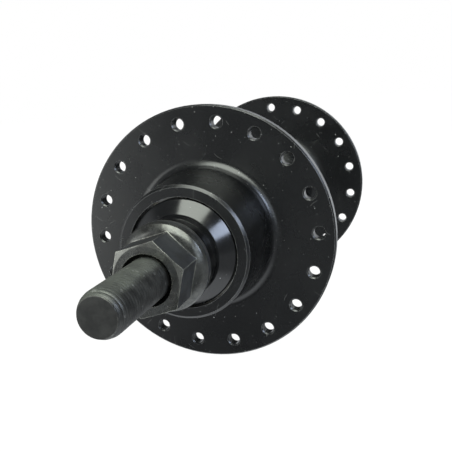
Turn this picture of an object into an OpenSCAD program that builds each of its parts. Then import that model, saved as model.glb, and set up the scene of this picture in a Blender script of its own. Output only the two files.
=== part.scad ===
// Front wheel hub with high flanges, solid nutted axle and caged ball bearings.
// The axle lies along Y with the hub centre at the origin and +Z up.
// The right end, at -Y, is the end that faces the viewer; the left end is at +Y.

/* [Hub size] */
// Distance between the outer faces of the two locknuts, which is the fork width
old = 150; // [130:1:180]
// Distance between the outer faces of the two flanges
flange_span = 93.5; // [80:0.5:104]

/* [Flanges] */
// Diameter of each flange
flange_d = 68; // [66:0.5:80]
// Thickness of each flange
flange_t = 3.2; // [2.6:0.1:5]
// Width of the bevel on each edge of the flange rim
rim_bevel = 0.35; // [0.1:0.05:0.8]
// Number of spokes in the wheel, half of them to each flange
spoke_count = 36; // [20:4:40]
// Distance from the rim of a flange in to the circle of its spoke holes
spoke_edge = 4.25; // [3.6:0.05:5.5]
// Diameter of a spoke hole
spoke_hole_d = 3; // [2:0.1:3.4]
// Width of the countersink at both mouths of a spoke hole
spoke_sink = 0.28; // [0.1:0.02:0.5]
// Angle of the first spoke hole of the right flange, from +X towards +Z
spoke_start = 0; // [0:0.1:20]

/* [Shell] */
// Diameter of the barrel at its waist, midway between the flanges
waist_d = 25; // [24:0.5:28]
// Diameter of the barrel where it runs into the flanges
barrel_d = 29; // [28.5:0.5:32]
// Wall of the barrel at its waist
barrel_wall = 3.2; // [2:0.1:3.4]
// Radius of the fillet between the barrel and the inner face of a flange
inner_fillet = 6; // [3:0.5:8]
// Diameter of the bearing boss outside a flange
boss_d = 32.8; // [31:0.2:38]
// Radius of the fillet between a boss and the outer face of its flange
outer_fillet = 4.2; // [2:0.1:7.5]
// Bevel on the outer edge of a boss
boss_bevel = 0.6; // [0.2:0.1:0.8]

/* [Bearings] */
// Diameter of a bearing ball
ball_d = 4.762; // [3.9:0.05:4.8]
// Number of balls in each bearing
ball_count = 10; // [6:1:10]
// Diameter of the circle on which the ball centres run
ball_circle_d = 18; // [17.6:0.1:18.8]
// Running gap between a ball and either race
race_gap = 0.06; // [0.02:0.01:0.1]
// Depth of the ball centres behind the end face of the boss
ball_depth = 4.2; // [4:0.1:6]
// Outer diameter of the pressed bearing cup
cup_d = 27.1; // [26.6:0.1:28]
// Thickness of the floor of the bearing cup
cup_floor = 1.6; // [1:0.1:2.5]
// Hole in the floor of the bearing cup
cup_hole_d = 15.6; // [14:0.2:16.4]
// How far the mouth of the bearing cup stands above the ball centres
cup_mouth_h = 1.8; // [1.2:0.1:2.2]
// Play between a ball and its pocket in the cage
cage_play = 0.1; // [0.05:0.05:0.2]
// Gap between the ring of the cage and the cone on one side and the cup on the other
cage_gap = 0.2; // [0.1:0.05:0.4]
// Thickness of the cage webs between the balls
cage_web_w = 1.9; // [1.2:0.1:2.4]
// Height of the cage webs
cage_web_h = 3.3; // [2.6:0.1:3.8]
// How far the foot of a cone reaches below the balls
cone_foot_h = 0.4; // [0.2:0.1:1]

/* [Axle] */
// Diameter of the axle
axle_d = 9.5; // [9.5:0.1:10]
// Diameter of the plain middle of the axle, thinner than its rolled threads
axle_waist_d = 8.9; // [7.6:0.1:9.4]
// Length of the plain middle of the axle
axle_waist_len = 96; // [60:1:100]
// How far the axle stands out beyond each locknut face
axle_out = 33; // [28:0.5:44]
// Length of the rounded nose at each end of the axle
axle_nose_len = 2.6; // [1:0.1:4]
// Running gap between the axle and what is threaded on it
thread_gap = 0.05; // [0.02:0.01:0.1]

/* [Cones and covers] */
// Diameter of the round neck of a cone, which the locknut shares
neck_d = 18.8; // [18.2:0.1:19.6]
// Length of the cone neck that stands out of the boss
neck_len = 4.65; // [4.2:0.05:7]
// Distance across the two wrench flats of a cone and its locknut
neck_flats = 18; // [16:0.1:18.1]
// Angle that the wrench flats face, from +X towards +Z
neck_flats_turn = 123.7; // [0:0.1:179]
// Gap round the rim of the dust cover, inside the boss
cover_gap = 0.45; // [0.2:0.05:0.8]
// Depth of the dust cover rim behind the end face of the boss
cover_sunk = 0.35; // [0:0.05:0.8]
// Height of the dust cover from its rim to its inner lip
cover_rise = 2.85; // [2:0.05:3.2]
// Wall of the dust cover
cover_wall = 0.9; // [0.5:0.05:1.2]
// Height of the seat where the dust cover grips the neck
cover_seat = 1.45; // [1:0.05:2]
// Width of the flat lip at the inner edge of the dust cover
cover_lip = 0.55; // [0.3:0.05:1]

/* [Locknuts and washers] */
// Thickness of a locknut
locknut_t = 3.8; // [3:0.1:5]
// Bevel on the edges of a locknut
locknut_bevel = 0.35; // [0.1:0.05:0.6]
// Thickness of the lock washer between a cone and its locknut
lock_washer_t = 1; // [0.6:0.1:1.6]
// Outer diameter of the lock washer
lock_washer_d = 18.4; // [17:0.1:20]
// Thickness of the washer under an axle nut
washer_t = 1.05; // [0.8:0.05:2]
// Outer diameter of the washer under an axle nut
washer_d = 20.2; // [19:0.1:24]
// Play between the axle and the bore of a washer, on the radius
washer_play = 0.2; // [0.1:0.05:0.4]

/* [Axle nuts] */
// Distance across the flats of an axle nut
nut_flats = 15; // [14:0.5:15.5]
// Overall height of an axle nut
nut_h = 11; // [8:0.1:13]
// Diameter of the round flange of an axle nut
nut_flange_d = 20.5; // [20:0.1:24]
// Height of the straight rim of the nut flange
nut_rim_h = 1.05; // [0.6:0.05:1.6]
// Width of the bevelled band between the rim of the nut flange and its dome
nut_band_w = 0.35; // [0.2:0.05:0.8]
// Height of the bevelled band above the straight rim
nut_band_h = 0.75; // [0.3:0.05:0.9]
// Height of the domed nut flange where it meets the hexagon
nut_dome_h = 2.85; // [2.7:0.05:4]
// How far the dome of the nut flange bulges from a straight cone
nut_dome_bulge = 0.27; // [0.1:0.01:0.5]
// How far the dome reaches in behind the flats of the hexagon
nut_dome_reach = 0.2; // [0.1:0.05:0.4]
// Width of the countersink round the bore of the nut
nut_sink = 0.9; // [0.4:0.05:1.2]
// Width of the countersink at the foot of the nut
nut_foot_sink = 0.45; // [0.2:0.05:0.8]
// How far the corners of the hexagon are cut back at the front
nut_corner_cut = 0.3; // [0.1:0.05:0.8]
// Angle of that cut to the front face
nut_corner_angle = 27; // [15:1:40]
// Angle of a corner of the right nut, from +X towards +Z
right_nut_turn = 15.2; // [0:0.1:60]
// Angle of a corner of the left nut, from +X towards +Z
left_nut_turn = 41; // [0:0.5:60]

/* [Hidden] */
$fn = 96;

// Steps in a full turn of a small hole, a ball and the very large circle of the barrel's hollow
hole_steps = 32;
ball_steps = 48;
barrel_steps = 1440;

// A little more than nothing, so that a cut passes right through a face
cut = 1;

// Radii
flange_r = flange_d / 2;
waist_r = waist_d / 2;
barrel_r = barrel_d / 2;
boss_r = boss_d / 2;
cup_r = cup_d / 2;
axle_r = axle_d / 2;
thread_r = axle_r + thread_gap;
neck_r = neck_d / 2;
ball_r = ball_d / 2;
race_r = ball_r + race_gap;
ball_circle_r = ball_circle_d / 2;

// Places along the axle, measured outwards from the hub centre, from the locknut face back to the balls
locknut_out = old / 2;
locknut_in = locknut_out - locknut_t;
cone_out = locknut_in - lock_washer_t;
boss_out = cone_out - neck_len;
ball_h = boss_out - ball_depth;
flange_out = flange_span / 2;
flange_in = flange_out - flange_t;

// The cup stands on a shoulder of the shell and its mouth ends just above the balls
cup_in = ball_h - race_r - cup_floor;
cup_mouth = ball_h + cup_mouth_h;

// The dust cover is a cone ring pressed on the neck, with its rim inside the boss
cover_rim = boss_out - cover_sunk;
cover_rim_r = cup_r - cover_gap;
cover_top = cover_rim + cover_rise;

// The washer and the nut stand on the outer face of the locknut
nut_foot = locknut_out + washer_t;

// The cage holds each ball in webs that grow from a ring between the races
cage_ring_in = neck_r + cage_gap;
cage_ring_out = ball_circle_r + race_r - cage_gap;
cage_ring_low = ball_h + cage_web_h / 2 - cage_gap / 2;
cage_ring_high = ball_h + ball_r + cage_play;

spokes_a_side = spoke_count / 2;
spoke_pitch = 360 / spokes_a_side;

shell_black = [0.10, 0.10, 0.11];
cover_black = [0.07, 0.07, 0.08];
steel = [0.62, 0.62, 0.60];
nut_grey = [0.32, 0.33, 0.31];
axle_grey = [0.38, 0.38, 0.36];
cage_brass = [0.60, 0.52, 0.30];

// Lays what stands along +Z along the axle: side 1 is the left end and -1 the right end.
// Angles round Z stay angles from +X towards +Z.
module at_end(side) {
  rotate([90, 0, 0])
    if (side < 0) children();
    else mirror([0, 0, 1]) children();
}

// A flat ring from radius a to radius b, between two heights
module ring(a, b, low, high) {
  translate([0, 0, low]) difference() {
    cylinder(r = b, h = high - low);
    translate([0, 0, -cut]) cylinder(r = a, h = high - low + 2 * cut);
  }
}

// What is left of a square corner after a round cut, as a concave fillet; the corner is at the origin
module fillet_2d(radius) {
  difference() {
    square(radius);
    translate([radius, radius]) circle(r = radius);
  }
}

// Half of the axle outline: the plain middle, the threaded stretch and the rounded nose
module axle_half_2d() {
  half = locknut_out + axle_out;
  shoulder = half - axle_nose_len;
  waist = axle_waist_len / 2;
  step = axle_r - axle_waist_d / 2;
  polygon([
    [0, 0], [axle_r - step, 0], [axle_r - step, waist - step],
    [axle_r, waist], [axle_r, shoulder], [0, shoulder]
  ]);
  intersection() {
    translate([0, shoulder]) circle(r = axle_r);
    translate([0, shoulder]) square([axle_r, axle_nose_len]);
  }
}

// Axle: a solid rod with rounded ends, and a plain middle between its two threaded stretches
module axle() {
  color(axle_grey) at_end(-1) rotate_extrude() {
    axle_half_2d();
    mirror([0, 1]) axle_half_2d();
  }
}

// The half of the barrel outline from the waist out to a flange: a long hollow curve that a
// fillet leads into the inner face of the flange, each meeting the next without a break
module barrel_half_2d() {
  rise = barrel_r - waist_r;
  curve_r = (rise * rise + flange_in * flange_in) / 2 / rise;
  curve_c = waist_r + curve_r;
  fillet_h = flange_in - inner_fillet;
  fillet_c = curve_c - sqrt(pow(curve_r - inner_fillet, 2) - fillet_h * fillet_h);
  meet_h = fillet_h * curve_r / (curve_r - inner_fillet);
  difference() {
    square([barrel_r, flange_in]);
    translate([curve_c, 0]) circle(r = curve_r, $fn = barrel_steps);
  }
  difference() {
    translate([waist_r, meet_h]) square([fillet_c - waist_r, flange_in - meet_h]);
    translate([fillet_c, fillet_h]) circle(r = inner_fillet);
  }
}

// Half of the shell outline, from the hub centre outwards
module shell_half_2d() {
  difference() {
    union() {
      barrel_half_2d();
      polygon([
        [0, flange_in], [barrel_r, flange_in],
        [flange_r - rim_bevel, flange_in], [flange_r, flange_in + rim_bevel],
        [flange_r, flange_out - rim_bevel], [flange_r - rim_bevel, flange_out],
        [boss_r, flange_out], [boss_r, boss_out - boss_bevel],
        [boss_r - boss_bevel, boss_out], [0, boss_out]
      ]);
      translate([boss_r, flange_out]) fillet_2d(outer_fillet);
    }
    translate([-cut, -cut]) square([waist_r - barrel_wall + cut, boss_out + 2 * cut]);
    translate([-cut, cup_in]) square([cup_r + cut, boss_out - cup_in + cut]);
  }
}

// One spoke hole along +Z through a flange whose outer face is at height 0
module spoke_hole() {
  hole_r = spoke_hole_d / 2;
  mouth_r = hole_r + spoke_sink;
  translate([0, 0, -flange_t - cut]) cylinder(r = hole_r, h = flange_t + 2 * cut, $fn = hole_steps);
  translate([0, 0, -spoke_sink])
    cylinder(r1 = hole_r, r2 = mouth_r + spoke_sink, h = 2 * spoke_sink, $fn = hole_steps);
  translate([0, 0, -flange_t - spoke_sink])
    cylinder(r1 = mouth_r + spoke_sink, r2 = hole_r, h = 2 * spoke_sink, $fn = hole_steps);
}

// Shell: barrel, two drilled flanges and two bearing bosses in one piece.
// The holes of the left flange lie half a pitch from those of the right one.
module hub_shell() {
  color(shell_black) difference() {
    at_end(-1) rotate_extrude() {
      shell_half_2d();
      mirror([0, 1]) shell_half_2d();
    }
    for (side = [-1, 1], i = [0 : spokes_a_side - 1])
      at_end(side)
        rotate([0, 0, spoke_start + (i + (side > 0 ? 0.5 : 0)) * spoke_pitch])
          translate([flange_r - spoke_edge, 0, flange_out]) spoke_hole();
  }
}

// Cup: the pressed outer race, open towards the end of the hub
module cup(side) {
  color(steel) at_end(side) rotate_extrude() difference() {
    translate([cup_hole_d / 2, cup_in]) square([cup_r - cup_hole_d / 2, cup_mouth - cup_in]);
    translate([ball_circle_r, ball_h]) circle(r = race_r);
    translate([0, ball_h]) square([ball_circle_r + race_r, cup_mouth - ball_h + cut]);
    translate([0, ball_h - race_r]) square([ball_circle_r, race_r + cut]);
  }
}

// Balls: one full set of separate balls
module balls(side) {
  color(steel) at_end(side)
    for (i = [0 : ball_count - 1])
      rotate([0, 0, i * 360 / ball_count])
        translate([ball_circle_r, 0, ball_h]) sphere(r = ball_r, $fn = ball_steps);
}

// Cage: a ring beside the balls with a web between every two of them
module ball_cage(side) {
  color(cage_brass) at_end(side) difference() {
    rotate_extrude() {
      translate([ball_circle_r - cage_web_w / 2, ball_h - cage_web_h / 2]) square([cage_web_w, cage_web_h]);
      translate([cage_ring_in, cage_ring_low])
        square([cage_ring_out - cage_ring_in, cage_ring_high - cage_ring_low]);
    }
    for (i = [0 : ball_count - 1])
      rotate([0, 0, i * 360 / ball_count])
        translate([ball_circle_r, 0, ball_h]) sphere(r = ball_r + cage_play, $fn = ball_steps);
  }
}

// The two flats that a wrench grips on a round neck, cut between two heights
module wrench_flats(low, high) {
  for (turn = [0, 180])
    rotate([0, 0, neck_flats_turn + turn])
      translate([neck_flats / 2, -neck_r, low]) cube([neck_r, 2 * neck_r, high - low]);
}

// Cone: the inner race, threaded on the axle, with a neck that carries the dust cover
module cone(side) {
  foot = ball_h - race_r - cone_foot_h;
  nose_r = ball_circle_r - race_r;
  color(steel) at_end(side) difference() {
    rotate_extrude() difference() {
      union() {
        translate([thread_r, foot]) square([nose_r - thread_r, cone_out - foot]);
        translate([thread_r, ball_h]) square([neck_r - thread_r, cone_out - ball_h]);
      }
      translate([ball_circle_r, ball_h]) circle(r = race_r);
    }
    wrench_flats(cover_top, cone_out + cut);
  }
}

// Dust cover: a conical ring pressed on the cone, which closes the mouth of the boss
module dust_cover(side) {
  color(cover_black) at_end(side) rotate_extrude() polygon([
    [neck_r, cover_top - cover_seat], [neck_r + cover_lip, cover_top - cover_seat],
    [cover_rim_r, cover_rim - cover_wall], [cover_rim_r, cover_rim],
    [neck_r + cover_lip, cover_top], [neck_r, cover_top]
  ]);
}

// Lock washer between the cone and the locknut
module lock_washer(side) {
  color(steel) at_end(side) ring(axle_r + washer_play, lock_washer_d / 2, cone_out, locknut_in);
}

// Locknut: a round nut with two wrench flats; its outer face seats the fork
module locknut(side) {
  color(cover_black) at_end(side) difference() {
    rotate_extrude() polygon([
      [thread_r, locknut_in], [neck_r - locknut_bevel, locknut_in],
      [neck_r, locknut_in + locknut_bevel], [neck_r, locknut_out - locknut_bevel],
      [neck_r - locknut_bevel, locknut_out], [thread_r, locknut_out]
    ]);
    wrench_flats(locknut_in - cut, locknut_out + cut);
  }
}

// Plain washer under the axle nut
module axle_washer(side) {
  color(nut_grey) at_end(side) ring(axle_r + washer_play, washer_d / 2, locknut_out, nut_foot);
}

// Outline of the nut flange: a straight rim, a bevelled band and a dome that is an arc
module nut_flange_2d() {
  rim_r = nut_flange_d / 2;
  low = [rim_r - nut_band_w, nut_rim_h + nut_band_h];
  high = [nut_flats / 2 - nut_dome_reach, nut_dome_h];
  chord = low - high;
  chord_len = norm(chord);
  dome_r = chord_len * chord_len / 8 / nut_dome_bulge + nut_dome_bulge / 2;
  inwards = [chord[1], -chord[0]] / chord_len;
  dome_c = (low + high) / 2 + inwards * (dome_r - nut_dome_bulge);
  polygon([[0, 0], [rim_r, 0], [rim_r, nut_rim_h], low, high, [0, nut_dome_h]]);
  intersection() {
    translate(dome_c) circle(r = dome_r);
    translate([high[0], low[1]]) square([low[0] - high[0], high[1] - low[1]]);
  }
}

// Axle nut: a hexagon that grows out of a round domed flange, with a countersunk bore
module axle_nut(side, turn) {
  corner_r = nut_flats / 2 / cos(30);
  cut_from = nut_h - (nut_corner_cut + cut) * tan(nut_corner_angle);
  color(nut_grey) at_end(side) translate([0, 0, nut_foot]) difference() {
    union() {
      rotate_extrude() nut_flange_2d();
      intersection() {
        rotate([0, 0, turn]) cylinder(r = corner_r, h = nut_h, $fn = 6);
        rotate_extrude() polygon([
          [0, 0], [corner_r + cut, 0], [corner_r + cut, cut_from],
          [corner_r - nut_corner_cut, nut_h], [0, nut_h]
        ]);
      }
    }
    translate([0, 0, -cut]) cylinder(r = thread_r, h = nut_h + 2 * cut);
    translate([0, 0, nut_h - nut_sink])
      cylinder(r1 = thread_r, r2 = thread_r + nut_sink + cut, h = nut_sink + cut);
    translate([0, 0, -cut])
      cylinder(r1 = thread_r + nut_foot_sink + cut, r2 = thread_r, h = nut_foot_sink + cut);
  }
}

axle();
hub_shell();
cup(-1);  // right_cup
cup(1);  // left_cup
balls(-1);  // right_balls
balls(1);  // left_balls
ball_cage(-1);  // right_ball_cage
ball_cage(1);  // left_ball_cage
cone(-1);  // right_cone
cone(1);  // left_cone
dust_cover(-1);  // right_dust_cover
dust_cover(1);  // left_dust_cover
lock_washer(-1);  // right_lock_washer
lock_washer(1);  // left_lock_washer
locknut(-1);  // right_locknut
locknut(1);  // left_locknut
axle_washer(-1);  // right_axle_washer
axle_washer(1);  // left_axle_washer
axle_nut(-1, right_nut_turn);  // right_axle_nut
axle_nut(1, left_nut_turn);  // left_axle_nut
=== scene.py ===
"""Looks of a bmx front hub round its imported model. Metres; axle along Y, right end at -Y, +Z up."""

import math

import bmesh
import bpy
from mathutils import Matrix, Vector


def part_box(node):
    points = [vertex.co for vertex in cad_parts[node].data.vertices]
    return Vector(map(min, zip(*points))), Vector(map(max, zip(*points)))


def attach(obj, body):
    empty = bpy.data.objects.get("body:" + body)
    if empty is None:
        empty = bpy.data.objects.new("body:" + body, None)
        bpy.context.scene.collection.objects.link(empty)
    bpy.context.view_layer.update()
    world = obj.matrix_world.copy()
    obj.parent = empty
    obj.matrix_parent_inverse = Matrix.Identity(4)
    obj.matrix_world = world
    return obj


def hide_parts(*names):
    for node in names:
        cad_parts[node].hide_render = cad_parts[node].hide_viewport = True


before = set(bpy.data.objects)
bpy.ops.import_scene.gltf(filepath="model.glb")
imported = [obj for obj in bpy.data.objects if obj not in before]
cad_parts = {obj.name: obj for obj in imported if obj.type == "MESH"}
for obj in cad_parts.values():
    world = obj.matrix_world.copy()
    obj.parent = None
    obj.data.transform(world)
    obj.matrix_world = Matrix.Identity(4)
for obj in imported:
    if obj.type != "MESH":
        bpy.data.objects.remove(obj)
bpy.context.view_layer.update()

MM = 0.001

# The photograph's camera: where it stands, where it looks, and its lens and sensor
CAMERA_PLACE = Vector((52.026, -197.115, 35.181)) * MM
CAMERA_AZIMUTH = math.radians(17.174)
CAMERA_DROP = math.radians(11.795)
CAMERA_ROLL = math.radians(-4.745)
LENS_MM = 48.996
SENSOR_MM = 36.0

# Axle thread: 3/8 inch across, 26 turns to the inch
PITCH = 25.4 / 26 * MM
THREAD_DEPTH = 0.08 * MM
THREAD_LENGTH = 37 * MM
# The length over which it runs out at the very end of the axle
THREAD_FADE = 0.3 * MM
# (share of a pitch, depth) of one turn: a worn round crest, a flank, a narrow round root and a flank
THREAD_PROFILE = (
    (0.0, 0.0), (0.16, 0.03), (0.3, 0.22), (0.42, 0.8),
    (0.5, 1.0), (0.58, 0.8), (0.7, 0.22), (0.84, 0.03), (1.0, 0.0),
)
TURN_STEPS = 60
# Length of the axle's rounded ends
NOSE = 2.6 * MM
# How much deeper the thread is there, where nothing has worn or filled it
NOSE_DEPTH = 1.3
# Points of the axle that lie closer than this become one
AXLE_MERGE = 0.002 * MM
# Faces that look this squarely along the axle are its flat end faces
AXLE_END_FACING = 0.99

# The bearing boss as the frame has it: its radius, fillet and end bevel, and the flange face at its foot
BOSS_R = 16.4 * MM
BOSS_FILLET = 4.2 * MM
BOSS_BEVEL = 0.6 * MM
FLANGE_FACE = 46.75 * MM
# The draft of the forged boss, and the tighter fillet at its wider foot
BOSS_DRAFT = math.radians(5.2)
FOOT_R = 17.85 * MM
FOOT_FILLET = 2.45 * MM

# Radius of the countersink round the bore of an axle nut, inside which shade is painted
SINK_R = 5.72 * MM
# The chamfer of a nut's corners: the radius where it starts, and its slope
NUT_CHAMFER_R = 7.2 * MM
NUT_CHAMFER = math.radians(9)
# The chamfered faces look along the axle by between these cosines, and lie at least this far out on it
CHAMFER_LEAST = 0.97
CHAMFER_MOST = 0.996
NUT_FACE = 84 * MM
# Points of a nut that lie closer than this become one
NUT_MERGE = 0.001 * MM
# Faces of a nut that look this squarely along the axle are flat, and their edges show from a smaller angle
NUT_END_FACING = 0.9999
NUT_EDGE = math.radians(15)
NUT_END_EDGE = math.radians(3)
CONE_STEPS = 96

PALE_DUST = (0.62, 0.62, 0.6, 1.0)
# The dust on a surface, as (cell, size, share of the cells, strength) of each kind of grain
SHELL_DUST = (
    (1.2 * MM, 0.11 * MM, 0.8, 0.3),
    (2.2 * MM, 0.14 * MM, 0.9, 0.6),
    (4.5 * MM, 0.19 * MM, 1.0, 0.9),
)
GLOSS_DUST = ((1.5 * MM, 0.11 * MM, 0.6, 0.25), (3.0 * MM, 0.16 * MM, 0.7, 0.6))
STEEL_DUST = ((1.4 * MM, 0.10 * MM, 0.5, 0.4), (3.0 * MM, 0.15 * MM, 0.6, 0.8))

# Half the side of the floor
FLOOR_HALF = 4.0
# How bright the floor glows for the camera, and the share of the glow in what the camera sees of it
FLOOR_GLOW = 1.12
FLOOR_SHARE = 0.88


class Graph:
    """A node tree, with a short call for each node."""

    def __init__(self, tree):
        self.tree = tree

    def node(self, kind, **settings):
        """A new node with its settings."""
        made = self.tree.nodes.new(kind)
        for name, value in settings.items():
            setattr(made, name, value)
        return made

    def put(self, socket, value):
        """Links an output to a socket, or sets the socket's own value."""
        if isinstance(value, bpy.types.NodeSocket):
            self.tree.links.new(value, socket)
        else:
            socket.default_value = value

    def math(self, operation, a, b=0.0):
        """One operation on numbers."""
        made = self.node("ShaderNodeMath", operation=operation)
        self.put(made.inputs[0], a)
        self.put(made.inputs[1], b)
        return made.outputs[0]

    def product(self, first, *others):
        """All the numbers multiplied."""
        for other in others:
            first = self.math("MULTIPLY", first, other)
        return first

    def ramp(self, value, low, high, to_low=0.0, to_high=1.0):
        """Value mapped from low..high to to_low..to_high, smoothly and clamped."""
        made = self.node("ShaderNodeMapRange", interpolation_type="SMOOTHSTEP")
        numbers = {"Value": value, "From Min": low, "From Max": high, "To Min": to_low, "To Max": to_high}
        for name, x in numbers.items():
            self.put(made.inputs[name], x)
        return made.outputs["Result"]

    def mix(self, amount, a, b):
        """Colour a where amount is 0 and b where it is 1."""
        made = self.node("ShaderNodeMix", data_type="RGBA")
        self.put(made.inputs["Factor"], amount)
        self.put(made.inputs["A"], a)
        self.put(made.inputs["B"], b)
        return made.outputs["Result"]

    def blend(self, amount, a, b):
        """Shader a where amount is 0 and b where it is 1."""
        made = self.node("ShaderNodeMixShader")
        for socket, value in zip(made.inputs, (amount, a, b)):
            self.put(socket, value)
        return made.outputs[0]


class Surface(Graph):
    """The node tree of one material, in the object's own coordinates."""

    def __init__(self, name):
        self.material = bpy.data.materials.new(name)
        self.material.use_nodes = True
        super().__init__(self.material.node_tree)
        self.shader = self.tree.nodes["Principled BSDF"]
        self.place = self.node("ShaderNodeTexCoord").outputs["Object"]

    def vector(self, operation, a, b=(0.0, 0.0, 0.0)):
        """One operation on vectors that gives a vector."""
        made = self.node("ShaderNodeVectorMath", operation=operation)
        self.put(made.inputs[0], a)
        self.put(made.inputs[1], b)
        return made.outputs["Vector"]

    def dot(self, a, b):
        """The dot product of two vectors."""
        made = self.node("ShaderNodeVectorMath", operation="DOT_PRODUCT")
        self.put(made.inputs[0], a)
        self.put(made.inputs[1], b)
        return made.outputs["Value"]

    def length(self, a):
        """The length of a vector."""
        made = self.node("ShaderNodeVectorMath", operation="LENGTH")
        self.put(made.inputs[0], a)
        return made.outputs["Value"]

    def normal(self):
        """The direction that the surface faces."""
        return self.node("ShaderNodeNewGeometry").outputs["Normal"]

    def facing(self, toward):
        """How squarely the surface faces a direction: 1 at it, 0 sideways to it."""
        return self.dot(self.normal(), Vector(toward).normalized())

    def along(self, direction):
        """How far out in a direction the place lies."""
        return self.dot(self.place, Vector(direction).normalized())

    def stretch(self, scale):
        """The object's coordinates times a scale for each axis."""
        return self.vector("MULTIPLY", self.place, scale)

    def from_axis(self):
        """Distance from the axle's centre line."""
        return self.length(self.stretch((1.0, 0.0, 1.0)))

    def from_middle(self):
        """Distance along the axle from the hub's middle."""
        return self.math("ABSOLUTE", self.along((0.0, 1.0, 0.0)))

    def noise(self, scale, detail=3.0, vector=None):
        """Cloudy values round 0.5, from the place unless another vector is given."""
        made = self.node("ShaderNodeTexNoise")
        self.put(made.inputs["Vector"], self.place if vector is None else vector)
        self.put(made.inputs["Scale"], scale)
        self.put(made.inputs["Detail"], detail)
        return made.outputs["Fac"]

    def cells(self, vector, scale):
        """The node that divides space into random cells."""
        made = self.node("ShaderNodeTexVoronoi")
        self.put(made.inputs["Vector"], vector)
        self.put(made.inputs["Scale"], scale)
        return made

    def picked(self, cells, share):
        """1 in a share of the cells and 0 in the others."""
        split = self.node("ShaderNodeSeparateColor")
        self.put(split.inputs[0], cells.outputs["Color"])
        return self.math("LESS_THAN", split.outputs[0], share)

    def specks(self, cell, size, share):
        """Small round spots, one in each of a share of the cells: 1 on a spot and 0 off it."""
        cells = self.cells(self.place, 1 / cell)
        near = self.ramp(cells.outputs["Distance"], size / cell * 0.6, size / cell, 1.0, 0.0)
        return self.product(near, self.picked(cells, share))

    def dust(self, base, sizes):
        """A base colour with pale specks on it, for each (cell, size, share of the cells, strength)."""
        for cell, size, share, strength in sizes:
            base = self.mix(self.product(self.specks(cell, size, share), strength), base, PALE_DUST)
        return base

    def lint(self, cell, width, share):
        """Thin, slightly curved fibres, in a share of the cells: 1 on a fibre and 0 off it."""
        place = self.stretch((1 / cell, 1 / cell, 1 / cell))
        cells = self.cells(place, 1.0)
        out = self.vector("SUBTRACT", place, cells.outputs["Position"])
        way = self.vector("NORMALIZE", self.vector("SUBTRACT", cells.outputs["Color"], (0.5, 0.5, 0.5)))
        # a fibre is a short arc through its cell's middle, with a radius of one cell
        off = self.math("SUBTRACT", self.length(self.vector("ADD", out, way)), 1.0)
        line = self.ramp(self.math("ABSOLUTE", off), 0.6 * width / cell, 1.4 * width / cell, 1.0, 0.0)
        near = self.ramp(self.length(out), 0.3, 0.33, 1.0, 0.0)
        return self.product(line, self.product(near, self.picked(cells, share)))

    def edge(self, radius, low, high):
        """1 along sharp edges, fading to 0 about a radius away; low and high limit the fade."""
        rounded = self.node("ShaderNodeBevel", samples=8)
        self.put(rounded.inputs["Radius"], radius)
        same = self.dot(rounded.outputs[0], self.normal())
        return self.ramp(self.math("SUBTRACT", 1.0, same), low, high)

    def relief(self, height, depth, rounding):
        """Bump of a real depth, over edges rounded by a small radius."""
        soft = self.node("ShaderNodeBevel", samples=6)
        self.put(soft.inputs["Radius"], rounding)
        bump = self.node("ShaderNodeBump")
        self.put(bump.inputs["Distance"], depth)
        self.put(bump.inputs["Height"], height)
        self.put(bump.inputs["Normal"], soft.outputs[0])
        self.put(self.shader.inputs["Normal"], bump.outputs[0])

    def finish(self, base, roughness, **others):
        """Sets the shader's colour and roughness, and the other sockets that are named."""
        for name, value in {"Base Color": base, "Roughness": roughness, **others}.items():
            self.put(self.shader.inputs[name], value)


def rgb(r, g, b):
    """An opaque colour."""
    return (r, g, b, 1.0)


def satin_black():
    """Black anodised alloy, satin from a fine blast, with a little dust and lint on it."""
    g = Surface("satin_black")
    cloud = g.noise(90.0, 4.0)
    base = g.mix(g.ramp(cloud, 0.3, 0.7), rgb(0.005, 0.0054, 0.006), rgb(0.008, 0.0084, 0.0092))
    wear = g.product(g.edge(0.18 * MM, 0.01, 0.06), 0.5)
    base = g.mix(wear, base, rgb(0.5, 0.5, 0.5))
    base = g.dust(base, SHELL_DUST)
    base = g.mix(g.product(g.lint(4.0 * MM, 0.05 * MM, 0.35), 0.13), base, PALE_DUST)
    g.finish(base, g.ramp(cloud, 0.25, 0.75, 0.25, 0.30), IOR=1.9)
    g.relief(g.noise(9000.0, 2.0), 0.002 * MM, 0.12 * MM)
    return g.material


def gloss_black(name, black, roughness, ior):
    """Polished black plating with turning marks round the axle and a few specks."""
    g = Surface(name)
    base = g.dust(rgb(black, black * 1.05, black * 1.15), GLOSS_DUST)
    g.finish(base, g.ramp(g.noise(200.0), 0.3, 0.7, roughness * 0.8, roughness * 1.2), IOR=ior)
    marks = g.noise(1.0, 2.0, g.stretch((300.0, 6500.0, 300.0)))
    g.relief(marks, 0.0025 * MM, 0.10 * MM)
    return g.material


def dark_steel(g, base, roughness, wear_share, metallic):
    """Black oxide on steel: mottled, with pale metal showing along its edges and a little dust."""
    worn = g.ramp(g.noise(300.0), 0.35, 0.6, 0.15, 1.0)
    wear = g.product(g.edge(0.5 * MM, 0.01, 0.10), wear_share, worn)
    base = g.dust(g.mix(wear, base, rgb(0.66, 0.66, 0.60)), STEEL_DUST)
    mottle = g.ramp(g.noise(450.0, 5.0), 0.3, 0.7, 0.8, 1.2)
    g.finish(base, g.product(roughness, mottle), Metallic=metallic)
    g.relief(g.noise(2500.0), 0.004 * MM, 0.12 * MM)
    return g.material


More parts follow.
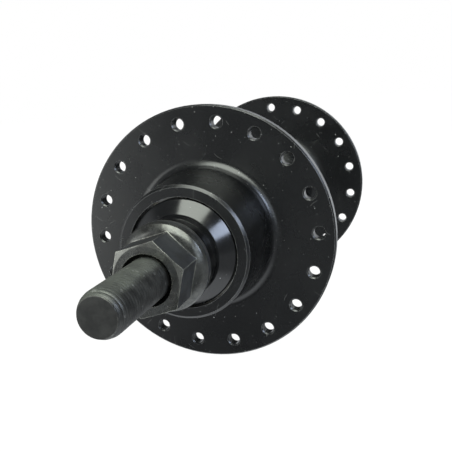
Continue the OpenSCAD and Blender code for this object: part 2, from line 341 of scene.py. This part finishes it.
def nut_steel():
    """The oxide of the nuts and their washers: stained in places, with a painted highlight high on the
    chamfer and painted shade that blackens the countersink.
    """
    g = Surface("nut_steel")
    base = g.mix(g.ramp(g.noise(1300.0, 6.0), 0.3, 0.7), rgb(0.16, 0.163, 0.16), rgb(0.22, 0.223, 0.212))
    # the flats of the hexagon are bluer and rougher than the faces that look along the axle
    square = g.math("ABSOLUTE", g.facing((0.0, 1.0, 0.0)))
    base = g.mix(g.ramp(square, 0.1, 0.05, 0.0, 0.8), base, rgb(0.15, 0.158, 0.178))
    roughness = g.ramp(square, 0.1, 0.05, 0.25, 0.4)
    stain = g.product(g.ramp(g.noise(170.0), 0.45, 0.65), 0.4)
    base = g.mix(stain, base, rgb(0.05, 0.045, 0.04))
    # the chamfer is rubbed pale in patches, and a painted highlight makes it paler on its upper side, where
    # the light falls
    below = g.math("LESS_THAN", square, CHAMFER_MOST)
    above = g.math("GREATER_THAN", square, CHAMFER_LEAST)
    chamfer = g.product(below, above, g.math("GREATER_THAN", g.from_middle(), NUT_FACE))
    highlit_side = g.ramp(g.along((0.45, 0.0, 0.89)), -2 * MM, 5 * MM, 0.2, 1.0)
    pale = g.product(chamfer, highlit_side, g.ramp(g.noise(300.0), 0.3, 0.55, 0.2, 0.6))
    base = g.mix(pale, base, rgb(0.5, 0.5, 0.46))
    # painted shade: the countersink round the bore is made nearly black, as its shadowed recess looks
    sink_shade = g.ramp(g.from_axis(), SINK_R * 0.99, SINK_R * 1.01, 0.94, 0.0)
    base = g.mix(sink_shade, base, rgb(0.004, 0.004, 0.004))
    return dark_steel(g, base, roughness, 1.0, 0.85)


def axle_steel():
    """The oxide of the axle: duller, darker on its end faces, with a paler, less metallic film along its
    upper side: settled dust in patches, and painted light from above.
    """
    g = Surface("axle_steel")
    base = g.mix(g.ramp(g.noise(450.0, 5.0), 0.3, 0.7), rgb(0.10, 0.10, 0.099), rgb(0.16, 0.16, 0.155))
    end = g.ramp(g.math("ABSOLUTE", g.facing((0.0, 1.0, 0.0))), 0.93, 0.98, 0.0, 0.3)
    base = g.mix(end, base, rgb(0.02, 0.02, 0.02))
    # painted light: the upper side is made paler and less metallic, in dusty patches, where light from above
    # falls on it
    lit_top = g.ramp(g.facing((-0.15, 0.0, 0.99)), 0.4, 0.75)
    film = g.product(lit_top, g.ramp(g.noise(260.0, 4.0), 0.3, 0.7, 0.6, 1.0))
    base = g.mix(film, base, rgb(0.155, 0.165, 0.145))
    clots = g.product(g.ramp(g.noise(700.0, 2.0), 0.64, 0.7), g.ramp(end, 0.0, 0.3, 0.25, 0.0))
    base = g.mix(clots, base, PALE_DUST)
    return dark_steel(g, base, 0.45, 0.35, g.ramp(film, 0.0, 1.0, 0.85, 0.3))


def bearing_steel():
    """Ground and hardened steel under a thin film of grease."""
    g = Surface("bearing_steel")
    film = g.noise(400.0)
    base = g.mix(g.ramp(film, 0.35, 0.65), rgb(0.60, 0.60, 0.58), rgb(0.50, 0.47, 0.40))
    g.finish(base, g.ramp(film, 0.35, 0.65, 0.12, 0.3), Metallic=1.0)
    return g.material


def cage_steel():
    """Pressed steel cage, yellowed by grease."""
    g = Surface("cage_steel")
    base = g.mix(g.ramp(g.noise(600.0), 0.3, 0.7), rgb(0.55, 0.48, 0.30), rgb(0.42, 0.36, 0.22))
    g.finish(base, g.ramp(g.noise(1500.0), 0.3, 0.7, 0.3, 0.45), Metallic=1.0)
    return g.material


def give(data, material):
    """Makes a material the only one of a mesh."""
    data.materials.clear()
    data.materials.append(material)


def dress(material, *kinds):
    """Gives a material to the CAD nodes of these kinds at both ends."""
    for name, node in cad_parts.items():
        if name.removeprefix("right_").removeprefix("left_") in kinds:
            give(node.data, material)


def placed(name, data):
    """A new object in the scene."""
    made = bpy.data.objects.new(name, data)
    bpy.context.scene.collection.objects.link(made)
    return made


def from_line(co):
    """Distance of a point from the axle's centre line."""
    return math.hypot(co.x, co.z)


def revolve(mesh, profile, steps):
    """Adds the surface that (radius, place along the axle) points sweep round its centre line."""
    rows = []
    for r, y in profile:
        angles = [2 * math.pi * step / steps for step in range(steps)]
        rows.append([mesh.verts.new((r * math.cos(a), y, r * math.sin(a))) for a in angles])
    for a, b in zip(rows, rows[1:]):
        for k in range(steps):
            n = (k + 1) % steps
            mesh.faces.new((a[k], a[n], b[n], b[k]))
    return rows


def drafted_shell(material):
    """The shell with its forged bosses a little wider at the foot, under a tighter fillet."""
    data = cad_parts["hub_shell"].data.copy()
    data.name = "drafted_shell"
    tiny = 0.01 * MM
    wall_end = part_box("hub_shell")[1].y - FLANGE_FACE - BOSS_BEVEL
    # what stands square to the flange leans by the draft, what lies along it stays, and the fillet shares it
    lean = 1 - BOSS_DRAFT / (math.pi / 2)

    def place(co):
        return from_line(co), abs(co.y) - FLANGE_FACE

    def on_boss(co):
        r, h = place(co)
        return BOSS_R - tiny < r < BOSS_R + BOSS_FILLET + tiny and -tiny < h < wall_end + tiny

    normals = [corner.vector.copy() for corner in data.corner_normals]
    for face in data.polygons:
        if all(on_boss(data.vertices[k].co) for k in face.vertices):
            for corner in face.loop_indices:
                normal = normals[corner]
                tilt = math.atan2(from_line(normal), abs(normal.y)) * lean
                out = Vector((normal.x, 0, normal.z)).normalized() * math.sin(tilt)
                normals[corner] = Vector((out.x, math.copysign(math.cos(tilt), normal.y), out.z))
    for vertex in data.vertices:
        r, h = place(vertex.co)
        if on_boss(vertex.co) and h < BOSS_FILLET + tiny:
            tilt = math.asin(min(1.0, max(0.0, 1 - (r - BOSS_R) / BOSS_FILLET))) * lean
            wide = (FOOT_R + FOOT_FILLET * (1 - math.sin(tilt))) / r
            side = math.copysign(FLANGE_FACE + FOOT_FILLET * (1 - math.cos(tilt)), vertex.co.y)
            vertex.co = (vertex.co.x * wide, side, vertex.co.z * wide)
    data.update()
    data.normals_split_custom_set(normals)
    give(data, material)
    return placed("drafted_shell", data)


def thread(mesh, end, radius, start, half):
    """Adds the thread of one end, at -1 or 1 along Y: a strip that winds outwards from start to half."""
    turns = math.ceil((half - start) / PITCH) + 2
    rows = []
    for step in range(turns * TURN_STEPS + 1):
        angle = 2 * math.pi * step / TURN_STEPS
        row = []
        for share, depth in THREAD_PROFILE:
            along = start - PITCH + PITCH * (step / TURN_STEPS + share)
            along = min(max(along, start), half)
            past = max(0.0, along - (half - NOSE))
            limit = math.sqrt(radius ** 2 - past ** 2)
            fade = min(1.0, (along - start) / PITCH, (half - along) / THREAD_FADE)
            deep = 1 + NOSE_DEPTH * min(1.0, 2 * past / NOSE)
            r = limit - THREAD_DEPTH * depth * fade * deep
            # a right-hand thread, seen from either end, turns clockwise as it goes away
            row.append(mesh.verts.new((r * math.cos(angle), end * along, -r * math.sin(angle) * end)))
        rows.append(row)
    for a, b in zip(rows, rows[1:]):
        for k in range(len(THREAD_PROFILE) - 1):
            mesh.faces.new((a[k], a[k + 1], b[k + 1], b[k]))


def threaded_axle(material):
    """The axle with its real thread on both ends, and its plain middle as in the frame."""
    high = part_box("axle")[1]
    start = high.y - THREAD_LENGTH
    mesh = bmesh.new()
    for end in (-1, 1):
        thread(mesh, end, high.x, start, high.y)
    # the plain middle joins the two threads, with the steps that the frame's axle has there
    points = [vertex.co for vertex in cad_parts["axle"].data.vertices]
    places = {(round(co.y, 6), round(from_line(co), 6)) for co in points}
    middle = [(r, y) for y, r in sorted(places) if abs(y) < start]
    revolve(mesh, [(high.x, -start)] + middle + [(high.x, start)], TURN_STEPS)
    bmesh.ops.remove_doubles(mesh, verts=mesh.verts, dist=AXLE_MERGE)
    bmesh.ops.dissolve_degenerate(mesh, edges=mesh.edges, dist=AXLE_MERGE)
    open_edges = [edge for edge in mesh.edges if edge.is_boundary]
    bmesh.ops.holes_fill(mesh, edges=open_edges, sides=0)
    bmesh.ops.recalc_face_normals(mesh, faces=mesh.faces)
    data = bpy.data.meshes.new("threaded_axle")
    mesh.to_mesh(data)
    mesh.free()
    for face in data.polygons:
        face.use_smooth = abs(face.normal.y) < AXLE_END_FACING
    give(data, material)
    return placed("threaded_axle", data)


def chamfer_cone(foot, end, out):
    """A solid wider than a nut, from foot to end along Y, whose end face slopes back as the chamfer does."""
    slope = math.tan(NUT_CHAMFER)
    ahead = 0.5 * MM
    wide = 12 * MM
    profile = (
        (NUT_CHAMFER_R - ahead / slope, end + ahead),
        (wide, end - (wide - NUT_CHAMFER_R) * slope),
        (wide, foot - ahead),
    )
    mesh = bmesh.new()
    rows = revolve(mesh, [(r, out * y) for r, y in profile], CONE_STEPS)
    mesh.faces.new(rows[0])
    mesh.faces.new(rows[-1])
    bmesh.ops.recalc_face_normals(mesh, faces=mesh.faces)
    data = bpy.data.meshes.new("chamfer_cone")
    mesh.to_mesh(data)
    mesh.free()
    return placed("chamfer_cone", data)


def crease(data):
    """Shades a nut's faces smoothly, with sharp edges at its corners and round its flat faces."""
    mesh = bmesh.new()
    mesh.from_mesh(data)
    for face in mesh.faces:
        face.smooth = True
    for edge in mesh.edges:
        flat = [face for face in edge.link_faces if abs(face.normal.y) > NUT_END_FACING]
        limit = NUT_END_EDGE if len(flat) == 1 else NUT_EDGE
        edge.smooth = edge.calc_face_angle(math.pi) < limit
    mesh.to_mesh(data)
    mesh.free()


def chamfered_nut(side, out, material):
    """The axle nut of one end, at -1 or 1 along Y, with its end face's corners turned down to a cone."""
    name = side + "_axle_nut"
    low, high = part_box(name)
    foot, end = sorted((abs(low.y), abs(high.y)))
    cone = chamfer_cone(foot, end, out)
    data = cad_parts[name].data.copy()
    mesh = bmesh.new()
    mesh.from_mesh(data)
    bmesh.ops.remove_doubles(mesh, verts=mesh.verts, dist=NUT_MERGE)
    mesh.to_mesh(data)
    mesh.free()
    rough = placed("rough_nut", data)
    cut = rough.modifiers.new("chamfer", "BOOLEAN")
    cut.operation = "INTERSECT"
    cut.solver = "EXACT"
    cut.object = cone
    shaped = bpy.data.meshes.new_from_object(rough.evaluated_get(bpy.context.evaluated_depsgraph_get()))
    for spent in (rough, cone):
        bpy.data.objects.remove(spent)
    shaped.name = "chamfered_" + name
    crease(shaped)
    give(shaped, material)
    nut = placed("chamfered_" + name, shaped)
    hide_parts(name)
    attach(nut, side + "_nut")


def softbox(name, toward, distance, width, height, radiance, colour):
    """A rectangular lamp in a direction from the hub, facing it."""
    lamp = bpy.data.lights.new(name, "AREA")
    lamp.shape = "RECTANGLE"
    lamp.size = width
    lamp.size_y = height
    lamp.energy = radiance * math.pi * width * height
    lamp.color = colour
    made = placed(name, lamp)
    way = Vector(toward).normalized()
    made.location = way * distance
    made.rotation_euler = way.to_track_quat("Z", "Y").to_euler()
    made.visible_camera = False


def lights():
    """The lamps, each by its direction, distance, width, height, radiance and colour."""
    softbox("top_softbox", (0.10, -0.6, 0.79), 0.8, 0.57, 0.8, 3.6, (0.94, 1.0, 0.91))
    softbox("right_window", (0.81, -0.44, 0.39), 0.8, 0.26, 0.26, 6.0, (0.68, 0.79, 1.0))
    softbox("right_glow", (0.58, -0.8, 0.14), 0.9, 0.35, 0.3, 1.2, (0.8, 0.9, 1.0))
    softbox("left_fill", (-0.74, -0.67, 0.0), 0.9, 0.58, 0.6, 1.2, (0.97, 1.0, 0.98))


def background(g, colour):
    """A light from all round, in one colour or in a colour for each direction."""
    made = g.node("ShaderNodeBackground")
    g.put(made.inputs["Color"], colour)
    return made.outputs[0]


def white_world():
    """White behind the hub for the camera, a soft grey light from all round, and for reflections a dark
    room with a white backdrop behind the hub and a pale floor under it."""
    world = bpy.data.worlds.new("studio")
    bpy.context.scene.world = world
    world.use_nodes = True
    g = Graph(world.node_tree)
    g.tree.nodes.clear()
    split = g.node("ShaderNodeSeparateXYZ")
    g.put(split.inputs[0], g.node("ShaderNodeTexCoord").outputs["Generated"])
    x, y, z = split.outputs
    # the backdrop stands behind the hub, dimmer low down, where the hub shades it
    across = g.product(g.ramp(y, 0.45, 0.7), g.ramp(x, 0.42, 0.25), g.ramp(x, -0.6, -0.4))
    backdrop = g.product(across, g.ramp(z, 0.30, 0.20), g.ramp(z, -0.35, -0.1, 0.25, 1.4))
    ground = g.ramp(z, -0.5, -0.85, 0.0, 0.65)
    # behind the camera the room is darker low down, and brighter to the left
    front = g.ramp(y, -0.5, -0.8)
    low = g.product(front, g.ramp(z, -0.33, -0.37, 0.0, -0.17))
    left = g.product(front, g.ramp(x, -0.27, -0.5, 0.0, 0.12))
    left = g.math("ADD", left, g.ramp(x, -0.75, -0.93, 0.0, 0.22))
    dim = g.math("ADD", g.ramp(z, -0.10, -0.25, 0.07, 0.20), g.math("ADD", low, left))
    room = g.math("MAXIMUM", g.math("MAXIMUM", backdrop, ground), dim)
    ambient = background(g, rgb(0.25, 0.25, 0.25))
    gloss = background(g, g.mix(room, rgb(0, 0, 0), rgb(0.96, 1.0, 1.04)))
    seen = background(g, rgb(1, 1, 1))
    path = g.node("ShaderNodeLightPath")
    sharp = g.math("MAXIMUM", path.outputs["Is Glossy Ray"], path.outputs["Is Transmission Ray"])
    light = g.blend(sharp, ambient, gloss)
    out = g.node("ShaderNodeOutputWorld")
    g.put(out.inputs["Surface"], g.blend(path.outputs["Is Camera Ray"], light, seen))


def white_floor():
    """A pale floor under the flanges; the camera sees it white, with a faint shadow."""
    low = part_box("hub_shell")[0]
    mesh = bpy.data.meshes.new("floor")
    signs = ((-1, -1), (1, -1), (1, 1), (-1, 1))
    corners = [(x * FLOOR_HALF, y * FLOOR_HALF, low.z) for x, y in signs]
    mesh.from_pydata(corners, [], [(0, 1, 2, 3)])
    floor = placed("floor", mesh)
    floor.visible_glossy = False
    material = bpy.data.materials.new("pale_floor")
    material.use_nodes = True
    g = Graph(material.node_tree)
    g.tree.nodes.clear()
    matt = g.node("ShaderNodeBsdfDiffuse")
    g.put(matt.inputs["Color"], rgb(0.8, 0.8, 0.8))
    glow = g.node("ShaderNodeEmission")
    g.put(glow.inputs["Strength"], FLOOR_GLOW)
    share = g.product(g.node("ShaderNodeLightPath").outputs["Is Camera Ray"], FLOOR_SHARE)
    out = g.node("ShaderNodeOutputMaterial")
    g.put(out.inputs["Surface"], g.blend(share, matt.outputs[0], glow.outputs[0]))
    give(mesh, material)


def camera():
    """The camera at the photograph's viewpoint."""
    data = bpy.data.cameras.new("camera")
    data.lens = LENS_MM
    data.sensor_width = SENSOR_MM
    data.clip_start = 0.01
    data.clip_end = 20.0
    made = placed("camera", data)
    made.location = CAMERA_PLACE
    turn = Matrix.Rotation(CAMERA_AZIMUTH, 4, "Z") @ Matrix.Rotation(math.pi / 2 - CAMERA_DROP, 4, "X")
    made.rotation_euler = (turn @ Matrix.Rotation(CAMERA_ROLL, 4, "Z")).to_euler()
    bpy.context.scene.camera = made


dress(gloss_black("gloss_cover", 0.008, 0.16, 1.9), "dust_cover")
dress(gloss_black("gloss_neck", 0.004, 0.12, 2.3), "cone", "lock_washer", "locknut")
nut_finish = nut_steel()
dress(nut_finish, "axle_washer")
dress(bearing_steel(), "cup", "balls")
dress(cage_steel(), "ball_cage")

shell = drafted_shell(satin_black())
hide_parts("hub_shell")
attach(shell, "shell")

chamfered_nut("right", -1, nut_finish)
chamfered_nut("left", 1, nut_finish)

axle = threaded_axle(axle_steel())
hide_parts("axle")
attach(axle, "axle_set")

lights()
white_world()
white_floor()
camera()

bpy.context.scene.view_settings.view_transform = "Standard"
